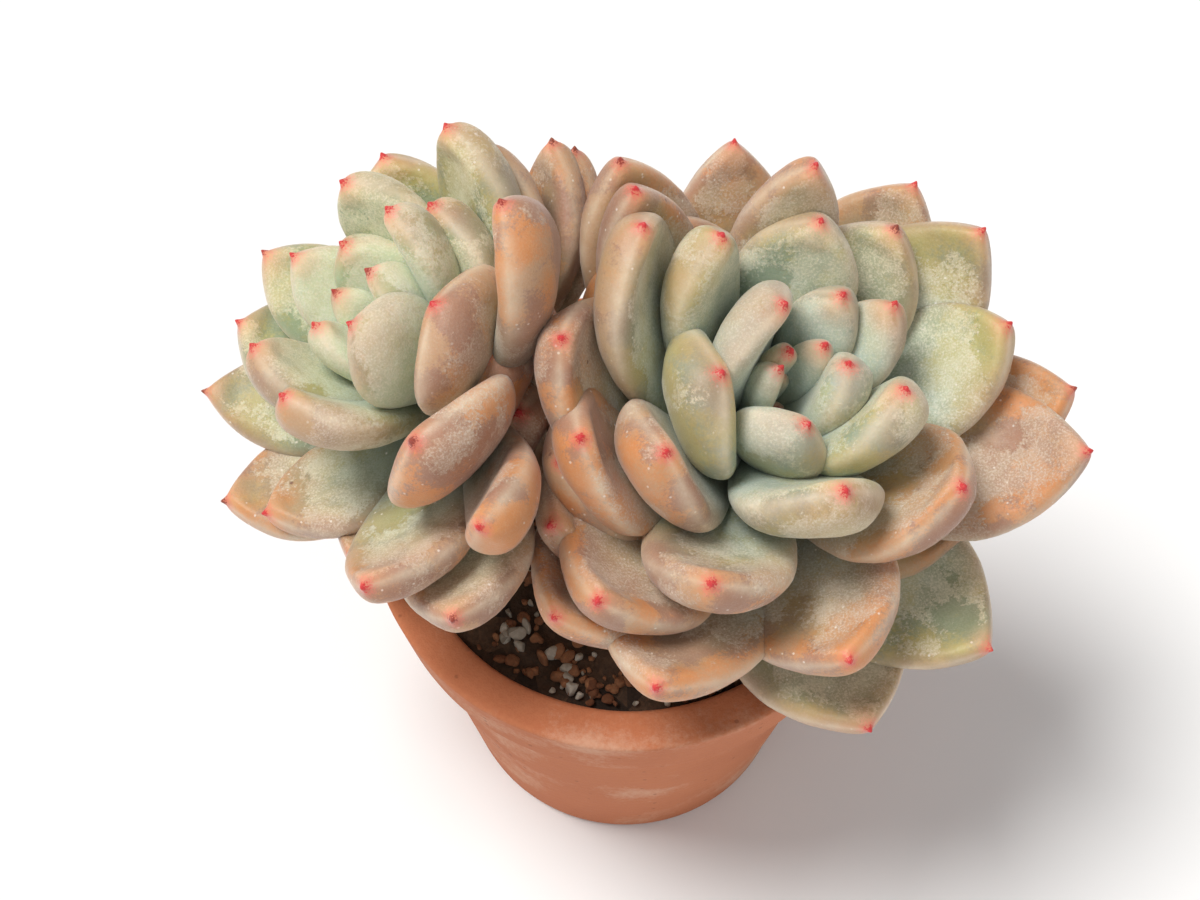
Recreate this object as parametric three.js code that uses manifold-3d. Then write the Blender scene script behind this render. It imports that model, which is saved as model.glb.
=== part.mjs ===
// Orange monroe echeveria with two heads, in a plain terracotta pot.
// Millimetres, +Z up, front along +Y. The origin is the middle of the pot's underside, on the ground.
import * as THREE from "three";
import { mergeVertices } from "three/addons/utils/BufferGeometryUtils.js";
import Module from "manifold-3d";

const GAP = 0.3; // air left between two pieces that touch

// Pot
const POT_HEIGHT = 74;
const POT_RIM_RADIUS = 44;
const POT_BASE_RADIUS = 31;
const POT_WALL = 4.5;
const POT_FLOOR = 6;
const RIM_BAND_HEIGHT = 15;
const RIM_BAND_STEP = 2.5; // how far the band stands out from the wall below it
const POT_EDGE = 1.2; // worn edges at the rim and the base
const DRAIN_RADIUS = 6;
const POT_SIDES = 48;

// Soil
const SOIL_BELOW_RIM = 3.5;
const SOIL_RELIEF = 0.9; // height of the grit above and below the mean surface
const SOIL_RINGS = 7;
const SOIL_SEED = 11;
const SOIL_TOP = POT_HEIGHT - SOIL_BELOW_RIM; // mean height of the soil's surface

// Stem: a short trunk that forks above the soil, with a branch to each head
const TRUNK_AT = [-6, 4];
const TRUNK_RADIUS = 8;
const TRUNK_DEPTH = 26; // length in the soil
const FORK_HEIGHT = SOIL_TOP + 3.5;
const BRANCH_RADIUS = 5.5;
const BRANCH_SPREAD = 2; // how far each branch starts from the trunk's middle
const BRANCH_RISE = 9; // length of the branch's first and last stretch, which set its bend
const BRANCH_STEPS = 8;
const STEM_SIDES = 14;

// Leaves: cross-sections from the root (0) to the tip (1), and the shape between them
const LEAF_STATIONS = [0, 0.02, 0.25, 0.5, 0.7, 0.86, 0.96, 1];
const LEAF_SIDES = 10;
const ROOT_WIDTH = 0.42; // width and thickness at the root, as a share of the largest
const ROOT_THICKNESS = 0.55;
const WIDEST_AT = 0.6;
const WIDENING = 1.3; // how late a leaf widens from its root
const END_FULLNESS = 0.85; // below 1 keeps the leaf broad close to its end
const THICKEST_AT = 0.66;
const END_ROUNDING = 3; // how bluntly the thickness ends
const UPPER_SHARE = 0.45; // share of the thickness above the leaf's middle line
const FULLNESS = 0.85; // below 1 fills out the section's margins and upper face
const KEEL = 1.05; // above 1 brings the underside to a soft keel
const CHANNEL = 0.06; // hollow of the upper face, as a share of the width
const CURL_LAG = 1.4; // above 1 the leaf turns up mostly near its end
const CURL_MIDDLE = 0.42;
const LINE_STEPS = 40;
const POINT_LENGTH = 0.5; // the small hard point at the tip

// Crown: the short core of a head, which the leaves grow from, as [radius, height] from its foot
const CROWN_PROFILE = [[0, -16.7], [6.2, -16.7], [7.6, -12], [6.6, -6], [4.2, 0], [1.6, 5], [0, 6]];
const CROWN_FOOT = CROWN_PROFILE[0][1];

// Heads. A ring's leaves share one size and grow at one height on the crown. Each leaf is
// [azimuth, lift, length], then its width where it isn't the ring's, then its roll about its own
// length: azimuth counts from +X towards +Y, and lift is up from level, in degrees. The higher "end"
// is, the closer to their point the leaves stay broad.
// The crown bends: its axis leans to the side and nods to the front by the first figure at the heart
// and by the second at the lowest ring.
const HEADS = {
  head_right: {
    centre: [19.7, -0.4, 103.3],
    lean: [18, 5],
    nod: [1, 7],
    rings: [
      {
        height: 1, reach: 1, width: 5, thickness: 3.4, curl: 15, end: 2.3,
        leaves: [[330, 80, 8], [100, 82, 10], [215, 78, 8]],
      },
      {
        height: 0, reach: 1.5, width: 7.5, thickness: 4.8, curl: 28, end: 2.3,
        leaves: [[45, 76, 18], [120, 86, 17], [197, 84, 17]],
      },
      {
        height: -1, reach: 2.5, width: 14, thickness: 8.8, curl: 48, end: 2.3,
        leaves: [
          [1, 78, 21, 14, -20], [39, 52, 27, 14, -15], [62, 63, 24, 12, -10], [137, 79, 26, 20, 15],
          [273, 67, 20, 16, -25],
        ],
      },
      {
        height: -3, reach: 3, width: 22, thickness: 10.5, curl: 55, end: 2.3,
        leaves: [
          [83, 54, 33, 20, -5], [133, 59, 34, 18, 15], [200, 66, 25, 24, -5], [284, 51, 31, 23],
          [342, 64, 29, 20, -20],
        ],
      },
      {
        height: -6, reach: 4, width: 24, thickness: 10.8, curl: 55, end: 2.3,
        leaves: [
          [20, 31, 41], [56, 40, 37, 22], [149, 54, 42, 27, 15], [221, 49, 32, 23, -10],
          [252, 30, 36, 24, 15], [329, 39, 35, 28],
        ],
      },
      {
        height: -9, reach: 5, width: 26, thickness: 10.6, curl: 50, end: 1.9,
        leaves: [
          [40, 34, 46, 26, 5], [83, 55, 44, 18, 10], [180, 47, 42, 27, -10], [204, 43, 38, 26, -10],
          [233, 21, 40, 27], [287, 19, 39, 27, 25], [354, 21, 49, 27, 10], [118, 38, 34],
        ],
      },
      {
        height: -12, reach: 5, width: 26, thickness: 10.2, curl: 46, end: 1.9,
        leaves: [
          [7, 21, 48], [57, 28, 46], [96, 31, 45, 22], [131, 53, 47, 20], [127, 45, 49, 21],
          [227, 15, 42, 29], [250, 17, 44, 27, 10], [293, -4, 44, 30], [319, 2, 45, 28, 5],
          [165, 42, 28], [200, 34, 34], [340, 0, 33], [144, 44, 35], [182, 22, 27], [212, 24, 36],
        ],
      },
    ],
  },
  head_left: {
    centre: [-31.6, 7, 107.7],
    lean: [-41, -19],
    nod: [-11, -1],
    rings: [
      {
        height: 1, reach: 1, width: 4.5, thickness: 3.2, curl: 15, end: 2.3,
        leaves: [[330, 80, 8], [100, 82, 10], [215, 78, 8]],
      },
      {
        height: 0, reach: 1.5, width: 11, thickness: 6.8, curl: 40, end: 2.3,
        leaves: [[137, 74, 18, 8], [12, 76, 20], [206, 75, 19]],
      },
      {
        height: -1, reach: 2.5, width: 14.5, thickness: 8.3, curl: 40, end: 2.3,
        leaves: [[94, 72, 23, 14, 10], [134, 62, 27], [299, 71, 21, 18, 30], [31, 63, 27]],
      },
      {
        height: -3, reach: 3, width: 19, thickness: 9.4, curl: 53, end: 2.3,
        leaves: [
          [45, 54, 26], [89, 62, 32, 19, -15], [141, 47, 33, 17], [194, 58, 28, 19, 15], [233, 54, 26],
          [336, 54, 24, 25],
        ],
      },
      {
        height: -6, reach: 4, width: 22, thickness: 10.5, curl: 50, end: 2.3,
        leaves: [
          [3, 51, 40, 21, -5], [59, 48, 38, 22, -15], [91, 43, 35, 21, 10], [160, 31, 34],
          [291, 39, 33, 25, 15],
        ],
      },
      {
        height: -9, reach: 5, width: 21, thickness: 9.6, curl: 48, end: 1.9,
        leaves: [
          [58, 44, 36], [171, 12, 40, 19, -15], [207, 5, 31, 20], [261, 18, 37, 22, 5],
          [293, 27, 42, 16, 25], [335, 58, 19],
        ],
      },
      {
        height: -12, reach: 5, width: 22.5, thickness: 9.7, curl: 48, end: 1.9,
        leaves: [
          [55, 30, 40, 18, -20], [52, 25, 40, 18], [196, 2, 37], [275, 10, 38], [75, 30, 38],
          [108, 20, 28], [140, 5, 30], [235, -2, 26], [22, 44, 18], [325, 36, 15, 18],
        ],
      },
    ],
  },
};

const COLOURS = {
  pot: "#b5673f",
  soil: "#5b4636",
  stem: "#7a5c43",
  head_right: "#b9bfa0",
  head_left: "#b7c4a4",
};

const wasm = await Module();
wasm.setup();

// Solids

function solidOf(geometry) {
  const bare = geometry.clone();
  bare.deleteAttribute("normal");
  bare.deleteAttribute("uv");
  const merged = mergeVertices(bare, 1e-4);
  return new wasm.Manifold(
    new wasm.Mesh({
      numProp: 3,
      vertProperties: new Float32Array(merged.attributes.position.array),
      triVerts: new Uint32Array(merged.index.array),
    }),
  );
}

function geometryOf(solid) {
  const mesh = solid.getMesh();
  return new THREE.BufferGeometry()
    .setAttribute("position", new THREE.BufferAttribute(mesh.vertProperties, 3))
    .setIndex(new THREE.BufferAttribute(mesh.triVerts, 1));
}

// One closed body: the union's outer skin, with any sealed hollow filled and any loose scrap dropped
function joined(solids) {
  const whole = solids.reduce((sum, piece) => sum.add(piece));
  return whole.decompose().reduce((most, body) => (body.volume() > most.volume() ? body : most));
}

// A turned shape about +Z, from [radius, height] points that go upwards on its outside
function turned(profile, sides) {
  const points = profile.map(([radius, height]) => new THREE.Vector2(radius, height));
  return new THREE.LatheGeometry(points, sides).rotateX(Math.PI / 2);
}

function addNode(group, name, geometry, roughness) {
  const material = new THREE.MeshStandardMaterial({ color: COLOURS[name], roughness, metalness: 0 });
  material.flatShading = true;
  const mesh = new THREE.Mesh(geometry, material);
  mesh.name = name;
  group.add(mesh);
}

// Pot and soil

// Radius of the pot's outer wall at a height, below the rim band
function wallRadius(height) {
  const top = POT_RIM_RADIUS - RIM_BAND_STEP;
  return POT_BASE_RADIUS + (top - POT_BASE_RADIUS) * (height / POT_HEIGHT);
}

function potGeometry() {
  const bandFoot = POT_HEIGHT - RIM_BAND_HEIGHT;
  const profile = [
    [DRAIN_RADIUS, 0],
    [POT_BASE_RADIUS - POT_EDGE, 0],
    [POT_BASE_RADIUS, POT_EDGE],
    [wallRadius(bandFoot), bandFoot],
    [wallRadius(bandFoot) + RIM_BAND_STEP, bandFoot + POT_EDGE],
    [POT_RIM_RADIUS, POT_HEIGHT - POT_EDGE],
    [POT_RIM_RADIUS - POT_EDGE, POT_HEIGHT],
    [wallRadius(POT_HEIGHT) - POT_WALL + POT_EDGE, POT_HEIGHT],
    [wallRadius(POT_HEIGHT) - POT_WALL, POT_HEIGHT - POT_EDGE],
    [wallRadius(POT_FLOOR) - POT_WALL, POT_FLOOR],
    [DRAIN_RADIUS, POT_FLOOR],
    [DRAIN_RADIUS, 0],
  ];
  return turned(profile, POT_SIDES);
}

// A repeatable number from 0 to 1 for a place on the soil
function grain(x, y) {
  const wave = Math.sin(x * 12.9898 + y * 78.233 + SOIL_SEED) * 43758.5453;
  return wave - Math.floor(wave);
}

function soilSolid() {
  const foot = POT_FLOOR + GAP;
  const inner = (height) => wallRadius(height) - POT_WALL - GAP;
  const profile = [[0, foot], [inner(foot), foot], [inner(SOIL_TOP), SOIL_TOP - SOIL_RELIEF]];
  for (let ring = SOIL_RINGS - 1; ring > 0; ring--) {
    profile.push([(inner(SOIL_TOP) * ring) / SOIL_RINGS, SOIL_TOP]);
  }
  profile.push([0, SOIL_TOP]);
  const ground = turned(profile, POT_SIDES);
  const place = ground.attributes.position;
  for (let i = 0; i < place.count; i++) {
    if (place.getZ(i) < SOIL_TOP - SOIL_RELIEF / 2) continue;
    const draw = grain(Math.round(place.getX(i) * 50), Math.round(place.getY(i) * 50));
    place.setZ(i, SOIL_TOP + SOIL_RELIEF * (2 * draw - 1));
  }
  return solidOf(ground).subtract(trunkSolid(GAP));
}

// Stem

// The trunk, from its foot in the soil to the fork; with a margin all round it is the hole in the soil
function trunkSolid(margin) {
  const foot = SOIL_TOP - TRUNK_DEPTH - margin;
  const radius = TRUNK_RADIUS + margin;
  const trunk = new THREE.CylinderGeometry(radius, radius, FORK_HEIGHT - foot, STEM_SIDES);
  trunk.rotateX(Math.PI / 2).translate(TRUNK_AT[0], TRUNK_AT[1], (FORK_HEIGHT + foot) / 2);
  return solidOf(trunk);
}

// A branch that leaves the trunk steeply and meets a crown's foot square on
function branchSolid(head) {
  const { centre, axis } = headFrame(head, head.rings.length - 1);
  const end = centre.clone().addScaledVector(axis, CROWN_FOOT - GAP);
  const start = new THREE.Vector3(TRUNK_AT[0], TRUNK_AT[1], FORK_HEIGHT - 1);
  start.x += Math.sign(end.x - start.x) * BRANCH_SPREAD;
  const path = new THREE.CubicBezierCurve3(
    start,
    start.clone().add(new THREE.Vector3((end.x - start.x) * 0.3, 0, BRANCH_RISE)),
    end.clone().addScaledVector(axis, -BRANCH_RISE),
    end,
  );
  const section = new THREE.Shape().absarc(0, 0, BRANCH_RADIUS, 0, 2 * Math.PI);
  const sweep = { extrudePath: path, steps: BRANCH_STEPS, curveSegments: STEM_SIDES / 2 };
  return solidOf(new THREE.ExtrudeGeometry(section, sweep));
}

// Leaves and heads

// A head's own axes at a ring: right and away across it, and its axis
function headFrame(head, ring) {
  const bend = Math.max(0, (ring - 2) / (head.rings.length - 3));
  const lean = THREE.MathUtils.degToRad(THREE.MathUtils.lerp(...head.lean, bend));
  const nod = THREE.MathUtils.degToRad(THREE.MathUtils.lerp(...head.nod, bend));
  const x = Math.sin(lean);
  const y = -Math.sin(nod);
  const axis = new THREE.Vector3(x, y, Math.sqrt(1 - x * x - y * y));
  const right = new THREE.Vector3(0, 1, 0).cross(axis).normalize();
  const away = axis.clone().cross(right);
  return { centre: new THREE.Vector3(...head.centre), axis, right, away };
}

// The leaf's middle line: points and headings along it, curling up, with its chord at the given lift
function middleLine(length, lift, curl) {
  const headings = [];
  const xs = [0];
  const zs = [0];
  for (let i = 0; i <= LINE_STEPS; i++) {
    headings.push(lift + curl * ((i / LINE_STEPS) ** CURL_LAG - CURL_MIDDLE));
  }
  for (let i = 0; i < LINE_STEPS; i++) {
    const middle = (headings[i] + headings[i + 1]) / 2;
    xs.push(xs[i] + Math.cos(middle) / LINE_STEPS);
    zs.push(zs[i] + Math.sin(middle) / LINE_STEPS);
  }
  const chord = Math.hypot(xs[LINE_STEPS], zs[LINE_STEPS]);
  const turn = lift - Math.atan2(zs[LINE_STEPS], xs[LINE_STEPS]);
  const scale = length / chord;
  return (along) => {
    const at = Math.min(along * LINE_STEPS, LINE_STEPS - 1e-6);
    const i = Math.floor(at);
    const x = THREE.MathUtils.lerp(xs[i], xs[i + 1], at - i) * scale;
    const z = THREE.MathUtils.lerp(zs[i], zs[i + 1], at - i) * scale;
    return {
      x: x * Math.cos(turn) - z * Math.sin(turn),
      z: x * Math.sin(turn) + z * Math.cos(turn),
      heading: THREE.MathUtils.lerp(headings[i], headings[i + 1], at - i) + turn,
    };
  };
}

// Half width of a leaf along its length, as a share of its largest: widening, then a blunt point
function widthShare(along, end) {
  if (along < WIDEST_AT) {
    return ROOT_WIDTH + (1 - ROOT_WIDTH) * Math.sin(((Math.PI / 2) * along) / WIDEST_AT) ** WIDENING;
  }
  return (1 - ((along - WIDEST_AT) / (1 - WIDEST_AT)) ** end) ** END_FULLNESS;
}

// Thickness of a leaf along its length, as a share of its largest: thickening, then a round end
function thicknessShare(along) {
  if (along < THICKEST_AT) {
    return ROOT_THICKNESS + (1 - ROOT_THICKNESS) * Math.sin(((Math.PI / 2) * along) / THICKEST_AT);
  }
  return Math.sqrt(1 - ((along - THICKEST_AT) / (1 - THICKEST_AT)) ** END_ROUNDING);
}

function softened(value, power) {
  return Math.sign(value) * Math.abs(value) ** power;
}

// A leaf in its own frame: out along +X, width along Y, the head's axis along +Z. It starts as a
// sphere whose rows become the leaf's sections: full margins, a hollow upper face and a soft keel.
function leafGeometry(ring, lift, length) {
  const rows = LEAF_STATIONS.length - 1;
  const leaf = new THREE.SphereGeometry(1, LEAF_SIDES, rows);
  const line = middleLine(length, THREE.MathUtils.degToRad(lift), THREE.MathUtils.degToRad(ring.curl));
  const place = leaf.attributes.position;
  for (let i = 0; i < place.count; i++) {
    const row = Math.floor(i / (LEAF_SIDES + 1));
    const around = (2 * Math.PI * (i % (LEAF_SIDES + 1))) / LEAF_SIDES;
    const along = LEAF_STATIONS[row];
    const size = row === 0 || row === rows ? 0 : 1; // the root and the tip are points
    const thick = thicknessShare(along) * size;
    const side = Math.cos(around);
    const rise = -Math.sin(around);
    const upper = (UPPER_SHARE * ring.thickness - CHANNEL * ring.width * rise) * softened(rise, FULLNESS);
    const lower = (1 - UPPER_SHARE) * ring.thickness * softened(rise, KEEL);
    const up = thick * (rise > 0 ? upper : lower);
    const across = (ring.width / 2) * widthShare(along, ring.end) * size * softened(side, FULLNESS);
    const point = line(along);
    const beyond = row === rows ? POINT_LENGTH : 0;
    place.setXYZ(
      i,
      point.x - up * Math.sin(point.heading) + beyond * Math.cos(point.heading),
      across,
      point.z + up * Math.cos(point.heading) + beyond * Math.sin(point.heading),
    );
  }
  return leaf;
}

function leafSolid(head, ringIndex, azimuth, lift, length, width, roll = 0) {
  const ring = head.rings[ringIndex];
  const { centre, axis, right, away } = headFrame(head, ringIndex);
  const turn = THREE.MathUtils.degToRad(azimuth);
  const out = right.clone().multiplyScalar(Math.cos(turn)).addScaledVector(away, Math.sin(turn));
  const across = axis.clone().cross(out);
  const root = centre.clone().addScaledVector(axis, ring.height).addScaledVector(out, ring.reach);
  const leaf = leafGeometry({ ...ring, width: width ?? ring.width }, lift, length);
  const rise = THREE.MathUtils.degToRad(lift);
  const chord = new THREE.Vector3(Math.cos(rise), 0, Math.sin(rise));
  leaf.applyMatrix4(new THREE.Matrix4().makeRotationAxis(chord, THREE.MathUtils.degToRad(roll)));
  leaf.applyMatrix4(new THREE.Matrix4().makeBasis(out, across, axis).setPosition(root));
  return solidOf(leaf);
}

function crownSolid(head) {
  const { centre, axis, right, away } = headFrame(head, head.rings.length - 1);
  const crown = turned(CROWN_PROFILE, 12);
  crown.applyMatrix4(new THREE.Matrix4().makeBasis(right, away, axis).setPosition(centre));
  return solidOf(crown);
}

function headSolid(head) {
  const solids = [crownSolid(head)];
  head.rings.forEach((ring, index) => {
    for (const leaf of ring.leaves) {
      solids.push(leafSolid(head, index, ...leaf));
    }
  });
  return joined(solids);
}

// The whole plant in its pot

const plant = new THREE.Group();
plant.name = "potted_echeveria";
addNode(plant, "pot", potGeometry(), 0.85);
addNode(plant, "soil", geometryOf(soilSolid()), 0.95);
const branches = Object.values(HEADS).map(branchSolid);
addNode(plant, "stem", geometryOf(joined([trunkSolid(0), ...branches])), 0.9);
for (const [name, head] of Object.entries(HEADS)) {
  addNode(plant, name, geometryOf(headSolid(head)), 0.6);
}

export default plant;
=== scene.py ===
# The looks of a potted orange monroe echeveria: two rosettes of thick waxy leaves on a short forked
# stem, in gritty soil and a plain terracotta pot.
import math
import random
from collections import namedtuple
from functools import reduce

import bmesh
import bpy
from mathutils import Matrix, Vector, noise


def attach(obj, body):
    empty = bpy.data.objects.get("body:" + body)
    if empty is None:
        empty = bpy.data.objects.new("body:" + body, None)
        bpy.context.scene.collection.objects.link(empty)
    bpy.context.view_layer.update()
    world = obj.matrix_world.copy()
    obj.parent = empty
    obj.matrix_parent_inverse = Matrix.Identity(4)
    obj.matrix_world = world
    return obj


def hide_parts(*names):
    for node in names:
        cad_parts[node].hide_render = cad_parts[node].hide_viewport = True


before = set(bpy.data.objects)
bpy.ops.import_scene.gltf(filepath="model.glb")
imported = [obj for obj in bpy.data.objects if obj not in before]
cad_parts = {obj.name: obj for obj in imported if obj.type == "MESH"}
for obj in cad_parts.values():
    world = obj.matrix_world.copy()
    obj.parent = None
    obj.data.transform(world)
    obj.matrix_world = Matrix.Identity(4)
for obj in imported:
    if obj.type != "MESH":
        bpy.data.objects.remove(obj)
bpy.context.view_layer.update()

MM = 0.001  # sizes below are in millimetres and angles in degrees, while meshes are in metres
FULL_TURN = 2 * math.pi
MERGE = 0.01 * MM
POLE = 1e-5  # a vertex of a unit sphere that is nearer its axis than this is one of its poles

# Pot
POT_HEIGHT = 74
POT_RIM_RADIUS = 44
POT_BASE_RADIUS = 31
POT_WALL = 4.5
POT_FLOOR = 6
RIM_BAND_HEIGHT = 15
RIM_BAND_STEP = 2.5
POT_EDGE = 1.2  # how far from a corner its rounding starts
POT_EDGE_STEPS = 4
DRAIN_RADIUS = 6
POT_SIDES = 144
PROFILE_STEP = 1.3  # between the rings of vertices up the wall
SHORTEST_CUT = 4  # shorter lines of the profile stay whole
THROWING_LINE = 0.07  # height of the turning marks on the wall
THROWING_PITCH = 2.6
WALL_WAVE = 0.2
WALL_WAVE_LENGTH = 17
FLAT_FOOT = 1.5 * POT_EDGE  # the wall's foot has no marks up to here

# Soil, stem and grit
SOIL_TOP = 70.5
SOIL_RADIUS = 36.2
TRUNK_AT = Vector((-6, 4, 0))
TRUNK_RADIUS = 8
TRUNK_DEPTH = 26
FORK_HEIGHT = SOIL_TOP + 3.5
BRANCH_RADIUS = 5.5
BRANCH_SINK = 1  # a branch starts this far below the fork
BRANCH_SPREAD = 2  # and this far from the trunk's middle
BRANCH_RISE = 9  # it sets out this far upwards, and arrives this far along its head's axis
BRANCH_SWING = 0.3  # share of its way to the side that it leans over as it sets out
STEM_AROUND = 40
STEM_ROWS = 56
STEM_STEP = 0.01  # share of a stretch, either way, over which its direction is measured
STEM_END_ROUNDING = 5
SCAR_PITCH = 3.1  # from one leaf scar to the next along the stem
SCAR_TWIST = 2.4
STEM_CORE = 0.93  # this and the next two are shares of the stem's radius
SCAR_RELIEF = 0.035
BARK_WAVE = 0.1
BARK_WAVE_LENGTH = 5 / 6
STONE_KINDS = 7
STONE_FACETS = 9
# Shares of a stone's radius: where it is cut flat, how high its middle lies above the soil, and how
# long, wide and high it is
STONE_CUTS = (0.55, 0.85)
STONE_MIDDLE = 0.4
STONE_SQUASH = ((0.8, 1.2), (0.7, 1), (0.5, 0.8))
CLAY_STONES = 700
CLAY_RADII = (0.5, 1.9)
PUMICE_STONES = 420
PUMICE_RADII = (0.5, 2.0)

# Leaves: places along a leaf go from 0 at the root to 1 at the tip, and the width and the thickness
# of a section are shares of the leaf's greatest
LEAF_AROUND = 44
LEAF_ROWS = 44
ROOT_WIDTH = 0.42
ROOT_THICKNESS = 0.55
WIDEST_AT = 0.6
WIDENING = 1.3
END_FULLNESS = 0.85  # below 1 keeps the leaf broad close to its end
THICKEST_AT = 0.66
END_ROUNDING = 3
UPPER_SHARE = 0.45  # of the thickness that is above the middle line
FULLNESS = 0.8  # below 1 fills out the section at its sides
UPPER_FULLNESS = 1.25  # this and the next, above 1, bring the two faces to a crisp margin
KEEL = 1.12
CHANNEL = 0.12  # hollow of the upper face midway along an old leaf, as a share of its width
CHANNEL_YOUNG = 0.4  # share of the hollow that the youngest leaves have
CHANNEL_OPEN_AT = 0.4
CHANNEL_CLOSING = 0.12  # share of the leaf, before its tip, over which the hollow closes
CHANNEL_EASE = 0.7
CURL_LAG = 1.4
CURL_MIDDLE = 0.42
LINE_STEPS = 40
POINT_LENGTH = 0.8  # the hard point that a leaf ends in
POINT_RADIUS = 0.55
POINT_FROM = 0.9
WAVE = 0.5  # uneven growth of a leaf's faces
WAVE_LENGTH = 10
DIMPLE = 0.12
DIMPLE_LENGTH = 3
EVEN_END = 1 / 6  # the unevenness fades out over this share of the leaf, before its tip
GROWTH_STEPS = (97, 53, 31)  # how far apart two leaves lie in the noise that makes them uneven

# Crown: the profile's points are (radius, height) along a head's axis
CROWN_PROFILE = ((0, -16.7), (6.2, -16.7), (7.6, -12), (6.6, -6), (4.2, 0), (1.6, 5), (0, 6))
CROWN_FOOT = CROWN_PROFILE[0][1]
CROWN_SIDES = 32
CROWN_FROM_TIP = 40  # so that the crown gets none of a leaf point's red
LAST_STRAIGHT_RING = 2  # counted from 0 at the heart. The crown bends below it

# A ring's leaves are (azimuth, lift, length, blush), then the width where it isn't the ring's, then the
# roll about the leaf's own length. Azimuth counts from the head's right towards its far side, and lift
# is up from level, as the head leans. Blush is 0 for a green leaf and 1 for an orange one. Height is
# where on the crown a ring grows, and reach how far out. Age is 0 at the heart and 1 at the oldest, and
# the higher end is, the closer to their point leaves stay broad. A head leans to its right and nods to
# the front by (heart, lowest ring).
# Fitting programs worked out most of these figures: the heads' centres, leans and nods, and 62 of the 82
# leaves' azimuth, lift, length, width or roll, from points read off the photograph. They were
# rounded, and a few then changed. The other leaves, and every blush, were set one by one.
Ring = namedtuple("Ring", "age height reach width thickness curl end leaves")
Head = namedtuple("Head", "centre lean nod rings")

HEAD_RIGHT = Head(
    centre=Vector((19.7, -0.4, 103.3)),
    lean=(18, 5),
    nod=(1, 7),
    rings=(
        Ring(0.0, 1, 1, 5, 3.4, 15, 2.3, ((330, 80, 4, 0), (100, 82, 10, 0), (215, 78, 8, 0))),
        Ring(
            0.08, 0, 1.5, 7.5, 4.8, 28, 2.3,
            ((45, 76, 18, 0.05), (120, 86, 17, 0.05), (197, 84, 17, 0.05)),
        ),
        Ring(
            0.2, -1, 2.5, 14, 8.8, 48, 2.3,
            (
                (1, 78, 21, 0.1, 14, -20), (39, 52, 27, 0.15, 14, -15), (62, 63, 24, 0.12, 12, -10),
                (137, 79, 26, 0.15, 20, 15), (273, 67, 20, 0.1, 16, -25),
            ),
        ),
        Ring(
            0.4, -3, 3, 22, 10.5, 55, 2.3,
            (
                (83, 54, 33, 0.15, 20, -5), (133, 59, 34, 0.15, 18, 15), (200, 66, 25, 0.1, 24, -5),
                (284, 51, 31, 0.15, 23), (342, 64, 29, 0.1, 20, -20),
            ),
        ),
        Ring(
            0.6, -6, 4, 24, 10.8, 55, 2.3,
            (
                (20, 31, 41, 0.2), (56, 40, 37, 0.22, 22), (149, 54, 42, 0.3, 27, 15),
                (221, 49, 32, 0.5, 23, -10), (252, 30, 36, 0.5, 24, 15), (329, 39, 35, 0.58, 28),
            ),
        ),
        Ring(
            0.8, -9, 5, 26, 10.6, 50, 1.9,
            (
                (40, 34, 46, 0.3, 26, 5), (83, 55, 44, 0.45, 18, 10), (180, 47, 42, 0.62, 27, -10),
                (204, 43, 38, 0.66, 26, -10), (233, 21, 40, 0.6, 27), (287, 19, 39, 0.62, 27, 25),
                (354, 21, 49, 0.66, 27, 10), (118, 38, 34, 0.5),
            ),
        ),
        Ring(
            1.0, -12, 5, 26, 10.2, 46, 1.9,
            (
                (7, 19, 48, 0.6), (57, 28, 46, 0.5), (96, 31, 45, 0.55, 22), (131, 53, 47, 0.55, 20),
                (127, 45, 49, 0.5, 23), (227, 15, 42, 0.65, 29), (250, 17, 44, 0.6, 27, 10),
                (293, -4, 44, 0.35, 30), (319, 2, 45, 0.25, 28, 5), (165, 42, 28, 0.5),
                (200, 34, 34, 0.6), (340, 0, 33, 0.5), (144, 44, 35, 0.6), (182, 22, 27, 0.6),
                (212, 24, 36, 0.5),
            ),
        ),
    ),
)

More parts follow.
